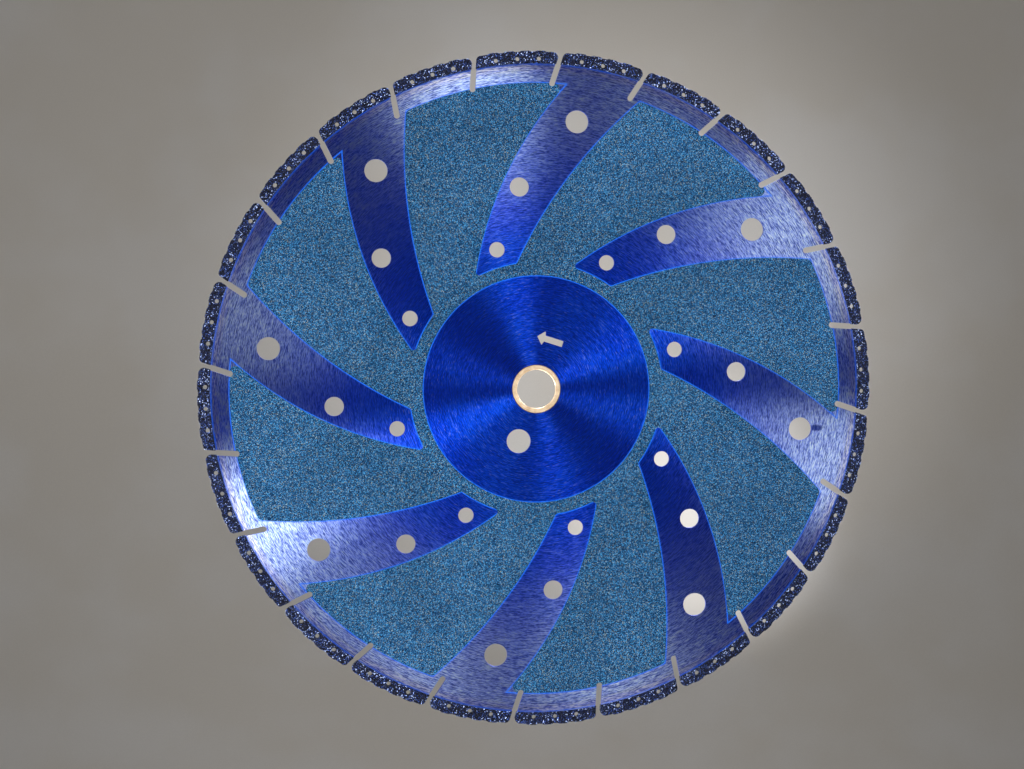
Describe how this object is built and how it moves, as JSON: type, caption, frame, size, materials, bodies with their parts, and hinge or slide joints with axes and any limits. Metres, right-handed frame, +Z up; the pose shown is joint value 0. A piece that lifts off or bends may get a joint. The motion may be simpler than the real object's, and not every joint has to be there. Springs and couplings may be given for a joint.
{
  "type": "diamond blade",
  "caption": "Slotted diamond cutting disc for masonry and concrete with grit-coated rim segments, curved cooling vanes and a loose reducing ring in its arbor bore.",
  "frame": {"origin": "centre of the arbor bore at half the plate's thickness", "axes": "the spin axis is Y and the front face looks along -Y; +Z is up, so the blade stands upright like a wheel; the rotation arrow on the front points anticlockwise"},
  "size_m": [0.35, 0.0032, 0.35],
  "materials": {
    "lacquered_steel": "brushed under a translucent blue lacquer, with grit-blasted fields",
    "ring_brass": "turned",
    "diamond_grit": "rough grit in dark braze"
  },
  "bodies": {
    "blade": {"steel_core": "lacquered_steel", "diamond_segment_01": "diamond_grit", "diamond_segment_02": "diamond_grit", "diamond_segment_03": "diamond_grit", "diamond_segment_04": "diamond_grit", "diamond_segment_05": "diamond_grit", "diamond_segment_06": "diamond_grit", "diamond_segment_07": "diamond_grit", "diamond_segment_08": "diamond_grit", "diamond_segment_09": "diamond_grit", "diamond_segment_10": "diamond_grit", "diamond_segment_11": "diamond_grit", "diamond_segment_12": "diamond_grit", "diamond_segment_13": "diamond_grit", "diamond_segment_14": "diamond_grit", "diamond_segment_15": "diamond_grit", "diamond_segment_16": "diamond_grit", "diamond_segment_17": "diamond_grit", "diamond_segment_18": "diamond_grit", "diamond_segment_19": "diamond_grit", "diamond_segment_20": "diamond_grit", "diamond_segment_21": "diamond_grit", "diamond_segment_22": "diamond_grit", "diamond_segment_23": "diamond_grit", "diamond_segment_24": "diamond_grit"},
    "ring": {"reducing_ring": "ring_brass"}
  },
  "joints": [
    {"name": "ring_slide", "type": "slide", "parent": "blade", "child": "ring", "axis": [0, -1, 0], "range_m": [-0.01, 0.01]}
  ]
}
